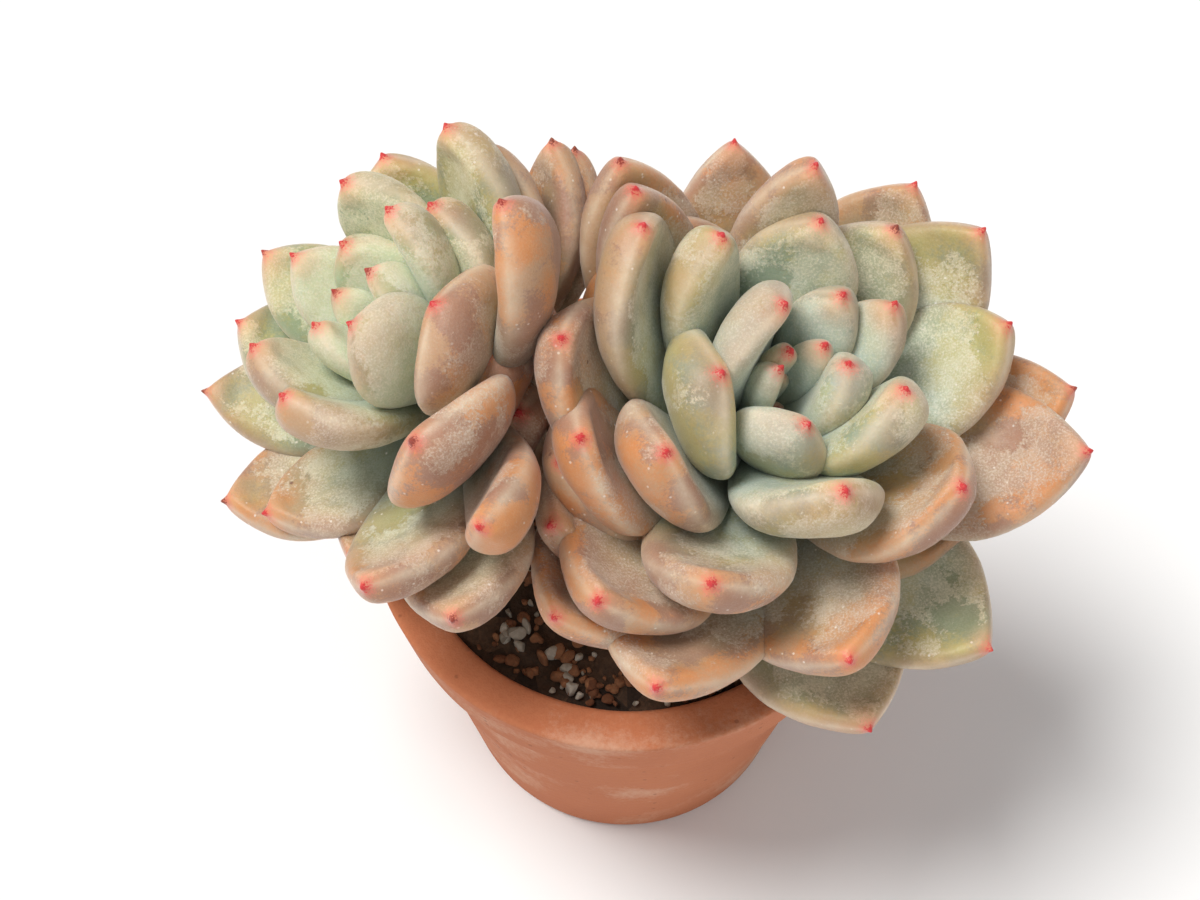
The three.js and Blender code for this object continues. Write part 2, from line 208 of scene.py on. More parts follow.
HEAD_LEFT = Head(
    centre=Vector((-31.6, 7, 107.7)),
    lean=(-41, -19),
    nod=(-11, -1),
    rings=(
        Ring(0.0, 1, 1, 4.5, 3.2, 15, 2.3, ((330, 80, 8, 0), (100, 82, 10, 0), (215, 78, 8, 0))),
        Ring(
            0.08, 0, 1.5, 11, 6.8, 40, 2.3,
            ((137, 74, 18, 0.05, 8), (12, 76, 20, 0.05), (206, 75, 19, 0.05)),
        ),
        Ring(
            0.2, -1, 2.5, 14.5, 8.3, 40, 2.3,
            (
                (94, 72, 23, 0.05, 14, 10), (134, 62, 27, 0.1), (299, 71, 21, 0.15, 18, 30),
                (31, 63, 27, 0.1),
            ),
        ),
        Ring(
            0.4, -3, 3, 19, 9.4, 53, 2.3,
            (
                (45, 54, 26, 0.18), (89, 62, 32, 0.12, 19, -15), (141, 47, 33, 0.12, 17),
                (194, 58, 28, 0.3, 19, 15), (233, 54, 26, 0.35), (336, 54, 24, 0.52, 25),
            ),
        ),
        Ring(
            0.6, -6, 4, 22, 10.5, 50, 2.3,
            (
                (3, 51, 40, 0.6, 21, -5), (59, 48, 38, 0.2, 22, -15), (91, 43, 35, 0.12, 21, 10),
                (160, 31, 34, 0.15), (291, 39, 33, 0.72, 25, 15),
            ),
        ),
        Ring(
            0.8, -9, 5, 21, 9.6, 48, 1.9,
            (
                (58, 44, 36, 0.4), (171, 12, 40, 0.3, 19, -15), (207, 5, 31, 0.5, 20),
                (261, 18, 37, 0.5, 22, 5), (293, 27, 42, 0.72, 16, 25), (335, 58, 19, 0.7),
            ),
        ),
        Ring(
            1.0, -12, 5, 22.5, 9.7, 48, 1.9,
            (
                (55, 30, 40, 0.55, 18, -20), (52, 25, 40, 0.55, 18), (196, 2, 37, 0.5),
                (275, 10, 38, 0.45), (75, 30, 38, 0.5), (108, 20, 28, 0.5), (140, 5, 30, 0.5),
                (235, -2, 26, 0.5), (22, 44, 18, 0.6), (325, 36, 15, 0.7, 18),
            ),
        ),
    ),
)

# Light, floor and the photograph's camera
ROOM_LIGHT = 0.33
SUNS = (  # name, where it shines from, strength, spread and tone
    ("window", (-0.42, 0.1, 1), 2.75, 26, (1.0, 0.99, 0.97)),
    ("fill", (0.2, -0.8, 0.6), 0.45, 70, (0.97, 0.99, 1.0)),
)
FLOOR_HALF_WIDTH = 4000
VIEW_TARGET = Vector((-4.9, -14.7, 118.5))
VIEW_ELEVATION = 60
VIEW_DISTANCE = 280
VIEW_LENS = 57.5
VIEW_NEAREST = 10


# Pieces


def finished_mesh(name, shape):
    mesh = bpy.data.meshes.new(name)
    shape.to_mesh(mesh)
    shape.free()
    return mesh


def new_object(name, data):
    made = bpy.data.objects.new(name, data)
    bpy.context.scene.collection.objects.link(made)
    return made


def add_piece(name, shape, material, nodes=()):
    """One finished mesh, in place, that rides with the whole plant and stands for its CAD nodes."""
    for face in shape.faces:
        face.smooth = True
    mesh = finished_mesh(name, shape)
    mesh.materials.append(material)
    piece = new_object(name, mesh)
    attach(piece, "root")
    if nodes:
        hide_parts(*nodes)


def add_copy(shape, mesh):
    """Adds a copy of a mesh to the shape, and returns the copy's vertices."""
    before = len(shape.verts)
    shape.from_mesh(mesh)
    shape.verts.ensure_lookup_table()
    return shape.verts[before:]


def spin_profile(shape, steps):
    """Spins the profile that the shape holds once round the upright axis, with its faces outwards."""
    bmesh.ops.spin(
        shape, geom=shape.verts[:] + shape.edges[:], cent=(0, 0, 0), axis=(0, 0, 1),
        angle=FULL_TURN, steps=steps, use_merge=True,
    )
    bmesh.ops.remove_doubles(shape, verts=shape.verts, dist=MERGE)
    bmesh.ops.recalc_face_normals(shape, faces=shape.faces)


def wobble(point, size, amount):
    """A smooth, repeatable unevenness at a point, up to about the amount either way."""
    return amount * noise.noise(point / size)


# Pot


def wall_radius(height):
    top = POT_RIM_RADIUS - RIM_BAND_STEP
    return POT_BASE_RADIUS + (top - POT_BASE_RADIUS) * height / POT_HEIGHT


def rounded(corners, radius):
    """The corners of a closed profile, each turned into a short curve that starts the radius away."""
    points = []
    for i, corner in enumerate(corners):
        before = (corners[i - 1] - corner).normalized() * radius
        after = (corners[(i + 1) % len(corners)] - corner).normalized() * radius
        for step in range(POT_EDGE_STEPS + 1):
            t = step / POT_EDGE_STEPS
            points.append(corner + before * (1 - t) ** 2 + after * t**2)
    return points


def pot_profile():
    band_foot = POT_HEIGHT - RIM_BAND_HEIGHT
    corners = [
        (DRAIN_RADIUS, 0),
        (POT_BASE_RADIUS, 0),
        (wall_radius(band_foot), band_foot),
        (wall_radius(band_foot) + RIM_BAND_STEP, band_foot + POT_EDGE / 2),
        (POT_RIM_RADIUS, POT_HEIGHT),
        (wall_radius(POT_HEIGHT) - POT_WALL, POT_HEIGHT),
        (wall_radius(POT_FLOOR) - POT_WALL, POT_FLOOR),
        (DRAIN_RADIUS, POT_FLOOR),
    ]
    return rounded([Vector(corner) for corner in corners], POT_EDGE)


def make_pot(material):
    shape = bmesh.new()
    corners = [shape.verts.new((point.x * MM, 0, point.y * MM)) for point in pot_profile()]
    lines = [shape.edges.new((corners[i - 1], corners[i])) for i in range(len(corners))]
    long_lines = [line for line in lines if line.calc_length() > SHORTEST_CUT * MM]
    for line in long_lines:
        cuts = int(line.calc_length() / MM / PROFILE_STEP)
        bmesh.ops.subdivide_edges(shape, edges=[line], cuts=cuts)
    spin_profile(shape, POT_SIDES)
    for vert in shape.verts:
        at = vert.co / MM
        if at.z >= FLAT_FOOT:
            outward = Vector((at.x, at.y, 0)).normalized()
            turning = math.sin(FULL_TURN * at.z / THROWING_PITCH) * THROWING_LINE
            vert.co += outward * (turning + wobble(at, WALL_WAVE_LENGTH, WALL_WAVE)) * MM
    add_piece("terracotta_pot", shape, material, ["pot"])


# Soil surface


def broken_stones(draw):
    """Meshes of broken stone: balls cut flat by planes at random."""
    stones = []
    for _ in range(STONE_KINDS):
        shape = bmesh.new()
        bmesh.ops.create_icosphere(shape, subdivisions=3, radius=1)
        for _ in range(STONE_FACETS):
            facing = Vector((draw.uniform(-1, 1), draw.uniform(-1, 1), draw.uniform(-1, 1))).normalized()
            depth = draw.uniform(*STONE_CUTS)
            for vert in shape.verts:
                vert.co -= facing * max(0, vert.co.dot(facing) - depth)
        stones.append(finished_mesh("stone", shape))
    return stones


def make_grit(name, material, draw, count, radii):
    """Loose stones pressed into the soil, squashed and turned at random. Most are small."""
    shape = bmesh.new()
    stones = broken_stones(draw)
    smallest, largest = radii
    for _ in range(count):
        away = SOIL_RADIUS * math.sqrt(draw.random())
        turn = draw.uniform(0, FULL_TURN)
        size = draw.triangular(smallest, largest, smallest)
        place = Vector((away * math.cos(turn), away * math.sin(turn), SOIL_TOP + size * STONE_MIDDLE))
        if away > SOIL_RADIUS - size or (place - TRUNK_AT).xy.length < TRUNK_RADIUS + size:
            continue
        tilt = Matrix.Rotation(draw.uniform(0, math.pi), 4, Vector((draw.random(), draw.random(), 1)))
        squash = Matrix.Diagonal([draw.uniform(*shares) for shares in STONE_SQUASH] + [1])
        placing = Matrix.Translation(place * MM) @ tilt @ squash @ Matrix.Scale(size * MM, 4)
        for vert in add_copy(shape, draw.choice(stones)):
            vert.co = placing @ vert.co
    add_piece(name, shape, material)


# Heads


def head_frame(head, ring_index):
    """A head's right, away and axis at a ring. The crown bends from the lowest ring to the heart."""
    lowest_ring = len(head.rings) - 1
    bend = max(0, (ring_index - LAST_STRAIGHT_RING) / (lowest_ring - LAST_STRAIGHT_RING))
    lean, nod = (math.radians(heart + (lowest - heart) * bend) for heart, lowest in (head.lean, head.nod))
    x = math.sin(lean)
    y = -math.sin(nod)
    axis = Vector((x, y, math.sqrt(1 - x * x - y * y)))
    right = Vector((0, 1, 0)).cross(axis).normalized()
    return right, axis.cross(right), axis


def placed(origin, x_axis, y_axis, z_axis):
    """The matrix that sets a shape, in metres, on three axes at an origin in millimetres."""
    turned = Matrix((x_axis, y_axis, z_axis)).transposed().to_4x4()
    return Matrix.Translation(origin * MM) @ turned


def middle_line(length, lift, curl):
    """The leaf's middle line as (x, z, heading) at LINE_STEPS + 1 places, in its own upright plane."""
    headings = [lift + curl * ((i / LINE_STEPS) ** CURL_LAG - CURL_MIDDLE) for i in range(LINE_STEPS + 1)]
    points = [Vector((0, 0))]
    for first, second in zip(headings, headings[1:]):
        middle = (first + second) / 2
        points.append(points[-1] + Vector((math.cos(middle), math.sin(middle))) / LINE_STEPS)
    chord = points[-1]
    turn = lift - math.atan2(chord.y, chord.x)
    onto_chord = Matrix.Rotation(turn, 2) * (length / chord.length)
    return [(*(onto_chord @ point), heading + turn) for point, heading in zip(points, headings)]


def along_line(line, along):
    at = min(along * LINE_STEPS, LINE_STEPS - 1e-6)
    i = int(at)
    return [a + (b - a) * (at - i) for a, b in zip(line[i], line[i + 1])]


def width_share(along, end):
    if along < WIDEST_AT:
        return ROOT_WIDTH + (1 - ROOT_WIDTH) * math.sin(math.pi / 2 * along / WIDEST_AT) ** WIDENING
    return max(0, 1 - ((along - WIDEST_AT) / (1 - WIDEST_AT)) ** end) ** END_FULLNESS


def thickness_share(along):
    if along < THICKEST_AT:
        return ROOT_THICKNESS + (1 - ROOT_THICKNESS) * math.sin(math.pi / 2 * along / THICKEST_AT)
    return math.sqrt(max(0, 1 - ((along - THICKEST_AT) / (1 - THICKEST_AT)) ** END_ROUNDING))


def channel_share(along):
    """How far the hollow of the upper face has opened: from nothing at the root and at the point."""
    return min(1, along / CHANNEL_OPEN_AT, (1 - along) / CHANNEL_CLOSING) ** CHANNEL_EASE


def softened(value, power):
    return math.copysign(abs(value) ** power, value)


def leaf_section(leaf, along, side, rise):
    """How far the skin lies across from the middle line and up from it, in the direction (side, rise)."""
    ring = leaf.ring
    if rise > 0:
        hollow = CHANNEL * leaf.width * rise**2 * min(1, CHANNEL_YOUNG + ring.age) * channel_share(along)
        up = (UPPER_SHARE * ring.thickness - hollow) * softened(rise, UPPER_FULLNESS)
    else:
        up = (1 - UPPER_SHARE) * ring.thickness * softened(rise, KEEL)
    across = leaf.width / 2 * width_share(along, ring.end) * softened(side, FULLNESS)
    return across, up * thickness_share(along)


Leaf = namedtuple("Leaf", "lift length width roll ring blush draw")


def add_leaf(shape, ball, layers, leaf, placing):
    """One leaf, from a ball whose rows become its sections, and whose poles its root and its point."""
    made = add_copy(shape, ball)
    lift = math.radians(leaf.lift)
    line = middle_line(leaf.length, lift, math.radians(leaf.ring.curl))
    growth = Vector([leaf.draw * step for step in GROWTH_STEPS])
    for vert in made:
        along = (1 + vert.co.z) / 2
        spread = math.hypot(vert.co.x, vert.co.y)
        side, rise = (vert.co.x / spread, vert.co.y / spread) if spread > POLE else (0, 0)
        across, up = leaf_section(leaf, along, side, rise)
        x, z, heading = along_line(line, along)
        beyond = POINT_LENGTH * math.exp(-((math.hypot(up, across) / POINT_RADIUS) ** 2))
        at = Vector((x - up * math.sin(heading), across, z + up * math.cos(heading)))
        if along > POINT_FROM:
            at += Vector((math.cos(heading), 0, math.sin(heading))) * beyond
        swell = wobble(at + growth, WAVE_LENGTH, WAVE) + wobble(at + growth, DIMPLE_LENGTH, DIMPLE)
        swell *= min(1, (1 - along) / EVEN_END)
        at += Vector((-math.sin(heading) * rise, side, math.cos(heading) * rise)) * swell
        vert.co = at * MM
        vert[layers["leaf_place"]] = Vector((along, side, rise))
        vert[layers["leaf_kind"]] = Vector((leaf.ring.age, leaf.blush, leaf.draw))
    tip = max(made, key=lambda vert: vert[layers["leaf_place"]].x).co.copy()
    chord = Vector((math.cos(lift), 0, math.sin(lift)))
    placing = placing @ Matrix.Rotation(math.radians(leaf.roll), 4, chord)
    for vert in made:
        vert[layers["from_tip"]] = (vert.co - tip).length / MM
        vert.co = placing @ vert.co


def add_crown(shape, layers, head):
    """The short core that the leaves grow from."""
    core = bmesh.new()
    points = [core.verts.new((radius * MM, 0, height * MM)) for radius, height in CROWN_PROFILE]
    for pair in zip(points, points[1:]):
        core.edges.new(pair)
    spin_profile(core, CROWN_SIDES)
    lowest = len(head.rings) - 1
    bmesh.ops.transform(core, matrix=placed(head.centre, *head_frame(head, lowest)), verts=core.verts)
    for vert in add_copy(shape, finished_mesh("crown", core)):
        vert[layers["from_tip"]] = CROWN_FROM_TIP


def leaf_ball():
    shape = bmesh.new()
    bmesh.ops.create_uvsphere(shape, u_segments=LEAF_AROUND, v_segments=LEAF_ROWS, radius=1)
    return finished_mesh("leaf", shape)


def make_head(name, head, material, node, draw):
    shape = bmesh.new()
    layers = {
        "leaf_place": shape.verts.layers.float_vector.new("leaf_place"),
        "leaf_kind": shape.verts.layers.float_vector.new("leaf_kind"),
        "from_tip": shape.verts.layers.float.new("from_tip"),
    }
    add_crown(shape, layers, head)
    ball = leaf_ball()
    for ring_index, ring in enumerate(head.rings):
        right, away, axis = head_frame(head, ring_index)
        for azimuth, lift, length, blush, *own in ring.leaves:
            width, roll = own + [ring.width, 0][len(own):]  # its own, or the ring's width and no roll
            turn = math.radians(azimuth)
            out = right * math.cos(turn) + away * math.sin(turn)
            root = head.centre + axis * ring.height + out * ring.reach
            leaf = Leaf(lift, length, width, roll, ring, blush, draw.random())
            add_leaf(shape, ball, layers, leaf, placed(root, out, axis.cross(out), axis))
    add_piece(name, shape, material, [node])


# Stem


def branch_line(head):
    """The middle line of a branch, from the trunk to a crown's foot, as a function of 0 to 1."""
    axis = head_frame(head, len(head.rings) - 1)[2]
    end = head.centre + axis * CROWN_FOOT
    start = Vector((TRUNK_AT.x, TRUNK_AT.y, FORK_HEIGHT - BRANCH_SINK))
    start.x += math.copysign(BRANCH_SPREAD, end.x - start.x)
    first = start + Vector(((end.x - start.x) * BRANCH_SWING, 0, BRANCH_RISE))
    second = end - axis * BRANCH_RISE

    def at(t):
        return (
            start * (1 - t) ** 3 + first * 3 * t * (1 - t) ** 2
            + second * 3 * t * t * (1 - t) + end * t**3
        )

    return at


def trunk_line(t):
    foot = SOIL_TOP - TRUNK_DEPTH
    return Vector((TRUNK_AT.x, TRUNK_AT.y, foot + (FORK_HEIGHT - foot) * t))


def add_stalk(shape, line, radius):
    """A woody stretch with leaf scars, from a ball whose rows are slid along the line."""
    made = bmesh.ops.create_uvsphere(
        shape, u_segments=STEM_AROUND, v_segments=STEM_ROWS, radius=1
    )["verts"]
    length = (line(1) - line(0)).length
    for vert in made:
        t = 1 - math.acos(max(-1, min(1, vert.co.z))) / math.pi
        place = line(t)
        ahead = (line(min(1, t + STEM_STEP)) - line(max(0, t - STEM_STEP))).normalized()
        across = Vector((0, 1, 0)).cross(ahead).normalized()
        other = ahead.cross(across)
        around = math.atan2(vert.co.y, vert.co.x)
        scars = math.sin(FULL_TURN * t * length / SCAR_PITCH + SCAR_TWIST * math.sin(around * 2))
        bark = wobble(place, BARK_WAVE_LENGTH, BARK_WAVE)
        reach = radius * (STEM_CORE + SCAR_RELIEF * scars + bark)
        reach *= min(1, math.hypot(vert.co.x, vert.co.y) * STEM_END_ROUNDING)
        vert.co = (place + (across * math.cos(around) + other * math.sin(around)) * reach) * MM


def make_stem(material):
    shape = bmesh.new()
    add_stalk(shape, trunk_line, TRUNK_RADIUS)
    for head in (HEAD_RIGHT, HEAD_LEFT):
        add_stalk(shape, branch_line(head), BRANCH_RADIUS)
    add_piece("forked_stem", shape, material, ["stem"])


# Materials


class NodeTree:
    """Adds nodes to a tree, where each input is a number, a colour or another node's output."""

    def __init__(self, tree):
        self.tree = tree

    def add(self, kind, inputs=None, **settings):
        node = self.tree.nodes.new(kind)
        for name, value in settings.items():
            setattr(node, name, value)
        for name, value in (inputs or {}).items():
            self.feed(node.inputs[name], value)
        return node

    def feed(self, socket, value):
        if isinstance(value, bpy.types.NodeSocket):
            self.tree.links.new(value, socket)
        else:
            socket.default_value = value

    def math(self, operation, first, second=0.0):
        return self.add("ShaderNodeMath", {0: first, 1: second}, operation=operation).outputs[0]

    def times(self, *values):
        return reduce(lambda first, second: self.math("MULTIPLY", first, second), values)

    def plus(self, *values):
        return reduce(lambda first, second: self.math("ADD", first, second), values)

    def steep(self, value, power):
        """The size of a value, raised to a power."""
        return self.math("POWER", self.math("ABSOLUTE", value), power)

    def mixed(self, share, first, second):
        """Two colours mixed, from the first where the share is 0 to the second where it is 1."""
        inputs = {0: share, 6: first, 7: second}
        return self.add("ShaderNodeMix", inputs, data_type="RGBA", clamp_factor=True).outputs[2]

    def ranged(self, value, low, high, to_low=0.0, to_high=1.0):
        """The value eased from one range to another, and held at its ends."""
        inputs = {"Value": value, "From Min": low, "From Max": high, "To Min": to_low, "To Max": to_high}
        return self.add("ShaderNodeMapRange", inputs, interpolation_type="SMOOTHSTEP").outputs["Result"]

    def noise(self, vector, scale, detail=2.0, roughness=0.5):
        inputs = {"Vector": vector, "Scale": scale, "Detail": detail, "Roughness": roughness}
        return self.add("ShaderNodeTexNoise", inputs).outputs["Fac"]

    def cells(self, vector, scale):
        """Cells of random size and place: how far a point is from its cell's middle, and its draw."""
        found = self.add("ShaderNodeTexVoronoi", {"Vector": vector, "Scale": scale}).outputs
        draw = self.add("ShaderNodeSeparateColor", {"Color": found["Color"]}).outputs[0]
        return found["Distance"], draw

    def spot(self):
        """The place on the piece, in metres."""
        return self.add("ShaderNodeTexCoord").outputs["Object"]

    def shifted(self, vector, direction, amount):
        """The vector moved along a direction by an amount."""
        move = self.add("ShaderNodeVectorMath", {0: direction, "Scale": amount}, operation="SCALE")
        moved = self.add("ShaderNodeVectorMath", {0: vector, 1: move.outputs[0]}, operation="ADD")
        return moved.outputs[0]

    def parts(self, attribute):
        """The three numbers of a vector attribute."""
        vector = self.add("ShaderNodeAttribute", attribute_name=attribute).outputs["Vector"]
        return self.add("ShaderNodeSeparateXYZ", {0: vector}).outputs

    def effect(self, group, vector, **inputs):
        node = self.add("ShaderNodeGroup", node_tree=group)
        for name, value in {"Vector": vector, **inputs}.items():
            self.feed(node.inputs[name], value)
        return node.outputs[0]

    def relief(self, height, strength, depth):
        """The normals of a height map, where the depth is that of its full range in millimetres."""
        inputs = {"Height": height, "Strength": strength, "Distance": depth * MM}
        return self.add("ShaderNodeBump", inputs).outputs["Normal"]


def colour(*shown):
    """A colour as seen on screen, 0 to 255, as the linear one that a shader needs."""
    shares = [value / 255 for value in shown]
    linear = [v / 12.92 if v <= 0.04045 else ((v + 0.055) / 1.055) ** 2.4 for v in shares]
    return (*linear, 1.0)


def new_effect(name, inputs, output):
    """An empty effect group with a vector and named number inputs, and one number output."""
    group = bpy.data.node_groups.new(name, "ShaderNodeTree")
    group.interface.new_socket("Vector", in_out="INPUT", socket_type="NodeSocketVector")
    for socket in inputs:
        group.interface.new_socket(socket, in_out="INPUT", socket_type="NodeSocketFloat")
    group.interface.new_socket(output, in_out="OUTPUT", socket_type="NodeSocketFloat")
    nodes = NodeTree(group)
    given = nodes.add("NodeGroupInput").outputs
    result = nodes.add("NodeGroupOutput").inputs[0]
    return group, nodes, given, result


def worn_patches():
    """Patches with stippled, powdery edges. Scale is per metre, and Cover from 0, none, to 1, all."""
    group, nodes, given, result = new_effect("worn_patches", ("Scale", "Cover", "Softness"), "Mask")
    broad = nodes.noise(given["Vector"], given["Scale"], roughness=0.55)
    fine_scale = nodes.times(given["Scale"], 17.0)
    fray = nodes.noise(given["Vector"], fine_scale, detail=4.0, roughness=0.75)
    level = nodes.plus(nodes.times(broad, 0.72), nodes.times(fray, 0.28))
    edge = nodes.ranged(given["Cover"], 0.0, 1.0, 0.72, 0.28)
    low = nodes.math("SUBTRACT", edge, given["Softness"])
    high = nodes.plus(edge, given["Softness"])
    nodes.feed(result, nodes.ranged(level, low, high))
    return group


def powder_grain():
    """The fine grain of a waxy or dusty film. Scale is per metre."""
    group, nodes, given, result = new_effect("powder_grain", ("Scale",), "Grain")
    fine = nodes.noise(given["Vector"], given["Scale"], detail=3.0, roughness=0.7)
    nodes.feed(result, nodes.ranged(fine, 0.3, 0.7))
    return group


def small_specks():
    """Scattered round specks. Scale is cells per metre, Size a share of a cell, Share how many show."""
    group, nodes, given, result = new_effect("small_specks", ("Scale", "Size", "Share"), "Mask")
    away, draw = nodes.cells(given["Vector"], given["Scale"])
    shown = nodes.math("LESS_THAN", draw, given["Share"])
    dot = nodes.ranged(away, nodes.times(given["Size"], 0.5), given["Size"], 1.0, 0.0)
    nodes.feed(result, nodes.times(dot, shown))
    return group


def new_material(name, **finish):
    """A material with its Principled shader, whose plain values are set on the shader's own sockets."""
    material = bpy.data.materials.new(name)
    material.use_nodes = True
    material.node_tree.nodes.clear()
    nodes = NodeTree(material.node_tree)
    shader = nodes.add("ShaderNodeBsdfPrincipled")
    for socket, value in finish.items():
        shader.inputs[socket.replace("_", " ")].default_value = value
    nodes.add("ShaderNodeOutputMaterial", {"Surface": shader.outputs[0]})
    return material, nodes, shader.inputs


def set_surface(nodes, shader, tone, roughness, relief):
    nodes.feed(shader["Base Color"], tone)
    nodes.feed(shader["Roughness"], roughness)
    nodes.feed(shader["Normal"], relief)


# Leaf skin: scales and cells are per metre
SPOT_SHIFT = (1.7, 1.0, -1.3)  # moves the patterns of each leaf by its own draw
CLOUD_SCALE = 75
MOTTLE_SCALE = 230
GRAIN_SCALE = 3000
PORE_SCALE = 420
OLIVE_SCALE = 80
ORANGE_SCALE = 95
MAUVE_SCALE = 100
RUBBED_SCALE = 70
DUST_CELLS = 620
SCAR_CELLS = 230
# White powder grains, partly painted glints
POWDER_AND_GLINT = colour(240, 234, 222)
# Painted shade deep in the rosette between the leaves, partly the greener colour of the leaf bases
PAINTED_ROOT_SHADE = colour(94, 108, 92)
# Pale wax of the margins, partly a painted light rim
MARGIN_WAX_AND_RIM_LIGHT = colour(236, 222, 196)
DUST = colour(244, 238, 228)
DARK_SPECK = colour(112, 66, 58)
HALO = colour(232, 118, 104)
RED_POINT = colour(208, 58, 62)
DRY_POINT = colour(134, 66, 52)

LeafColours = namedtuple(
    "LeafColours", "heart green olive tan orange mauve cream peach bloom_green bloom_warm"
)
RIGHT_COLOURS = LeafColours(
    heart=colour(148, 174, 164),
    green=colour(140, 154, 122),
    olive=colour(184, 176, 110),
    tan=colour(192, 150, 114),
    orange=colour(210, 138, 80),
    mauve=colour(160, 118, 100),
    cream=colour(228, 216, 174),
    peach=colour(230, 166, 118),
    bloom_green=colour(196, 211, 204),
    bloom_warm=colour(200, 174, 152),
)
LEFT_COLOURS = RIGHT_COLOURS._replace(heart=colour(166, 192, 146), bloom_green=colour(224, 234, 214))


class LeafSkin:
    """The layers of a leaf's skin. They read where on its leaf a point is (along, side and rise), how old
    and how orange the leaf is, its random draw, and how far the point is from the leaf's tip."""

    def __init__(self, nodes, tones, effects):
        self.nodes = nodes
        self.tones = tones
        self.effects = effects
        self.along, self.side, self.rise = nodes.parts("leaf_place")
        self.age, self.blush, self.draw = nodes.parts("leaf_kind")
        self.from_tip = nodes.add("ShaderNodeAttribute", attribute_name="from_tip").outputs["Fac"]
        self.spot = nodes.shifted(nodes.spot(), SPOT_SHIFT, self.draw)
        self.clouds = nodes.noise(self.spot, CLOUD_SCALE, detail=3.0, roughness=0.6)
        self.mottle = nodes.noise(self.spot, MOTTLE_SCALE, detail=4.0, roughness=0.65)
        self.pores = nodes.noise(self.spot, PORE_SCALE, detail=3.0, roughness=0.6)
        self.grain = nodes.effect(effects["grain"], self.spot, Scale=GRAIN_SCALE)
        self.toward_end = nodes.ranged(self.along, 0.35, 0.95)
        self.toward_margin = nodes.steep(self.side, 3.0)

    def by_age(self, young, old, at_young, at_old):
        """A number that changes between two ages."""
        return self.nodes.ranged(self.age, young, old, at_young, at_old)

    def patches(self, scale, cover, softness):
        worn = self.effects["patches"]
        return self.nodes.effect(worn, self.spot, Scale=scale, Cover=cover, Softness=softness)

    def specks(self, cells, size, share, strength):
        shown = self.nodes.effect(self.effects["specks"], self.spot, Scale=cells, Size=size, Share=share)
        return self.nodes.times(shown, strength)

    def warmth(self):
        """From 0, green, to 1, warm: leaves turn first at their end, at the margins and underneath."""
        level = self.nodes.plus(
            self.blush,
            self.nodes.times(self.toward_end, 0.3),
            self.nodes.times(self.toward_margin, 0.16),
            self.nodes.times(self.rise, -0.12),
            self.nodes.times(self.clouds, 0.5),
        )
        return self.nodes.ranged(level, 0.5, 1.15)

    def flesh(self, warmth):
        """Green with olive patches, and tan to orange with mauve ones."""
        nodes, tones = self.nodes, self.tones
        olive = self.patches(OLIVE_SCALE, cover=0.5, softness=0.06)
        olive = nodes.times(olive, self.by_age(0.1, 0.45, 0.5, 1.0))
        green = nodes.mixed(self.by_age(0.05, 0.6, 0.0, 1.0), tones.heart, tones.green)
        green = nodes.mixed(olive, green, tones.olive)
        blushed = nodes.ranged(self.blush, 0.1, 0.9, 0.1, 0.75)
        orange = self.patches(ORANGE_SCALE, cover=blushed, softness=0.09)
        mauve = nodes.times(self.patches(MAUVE_SCALE, cover=0.5, softness=0.03), 0.85)
        warm = nodes.mixed(mauve, nodes.mixed(orange, tones.tan, tones.orange), tones.mauve)
        return nodes.mixed(warmth, green, warm)

    def bloom(self, warmth):
        """The powder's own colour, which is creamier towards the end of older green leaves."""
        nodes, tones = self.nodes, self.tones
        creamy = nodes.times(self.toward_end, self.by_age(0.1, 0.5, 0.35, 0.8))
        return nodes.mixed(warmth, nodes.mixed(creamy, tones.bloom_green, tones.cream), tones.bloom_warm)

    def rubbed(self):
        """Frayed patches without powder: more of them on old leaves, at the end and at the margins."""
        cover = self.nodes.plus(
            self.by_age(0.1, 0.7, 0.24, 0.41),
            self.nodes.times(self.toward_end, 0.12),
            self.nodes.times(self.toward_margin, 0.12),
            self.nodes.times(self.rise, -0.06),
        )
        return self.patches(RUBBED_SCALE, cover, softness=self.by_age(0.2, 0.7, 0.04, 0.016))

    def film(self, rubbed):
        """How much of the flesh the powder hides. It is dense on young leaves."""
        level = self.nodes.plus(self.mottle, self.nodes.times(self.grain, 0.3))
        cover = self.nodes.ranged(level, 0.42, 0.84, self.by_age(0.1, 0.6, 0.58, 0.31), 0.87)
        return self.nodes.times(cover, self.nodes.ranged(rubbed, 0.0, 1.0, 1.0, 0.2))

    def with_grains_and_glints(self, skin, film):
        """Single grains of powder: their own white, and partly painted glints where they catch the light.
        """
        shown = self.nodes.times(self.nodes.ranged(self.grain, 0.5, 1.0, 0.0, 0.32), film)
        return self.nodes.mixed(shown, skin, POWDER_AND_GLINT)

    def with_painted_shade_and_pale_margins(self, skin):
        """Painted shade, dark green towards the root and more so on the upper face, partly the leaf
        base's own greener colour; and pale wax along the margins, partly a painted light rim.
        """
        nodes = self.nodes
        # Painted shade: darker towards the root, and more on the upper face, which the leaves above
        # shadow
        toward_root = nodes.ranged(self.along, 0.12, 0.72, 0.95, 0.0)
        shade = nodes.times(toward_root, nodes.ranged(self.rise, -0.4, 0.5, 0.6, 1.0))
        skin = nodes.mixed(shade, skin, PAINTED_ROOT_SHADE)
        # Pale margins: the leaf's own wax, and partly a painted light rim
        margin = nodes.times(nodes.steep(self.side, 18.0), nodes.ranged(self.along, 0.35, 0.7, 0.0, 0.8))
        return nodes.mixed(nodes.times(margin, self.mottle), skin, MARGIN_WAX_AND_RIM_LIGHT)

    def with_specks(self, skin):
        """Pale dust and small dark scars, of which old leaves have more."""
        dust_strength = self.by_age(0.2, 0.8, 0.1, 0.6)
        scar_strength = self.by_age(0.2, 1.0, 0.15, 0.75)
        dust = self.specks(DUST_CELLS, size=0.16, share=0.3, strength=dust_strength)
        scars = self.specks(SCAR_CELLS, size=0.1, share=0.14, strength=scar_strength)
        return self.nodes.mixed(scars, self.nodes.mixed(dust, skin, DUST), DARK_SPECK)

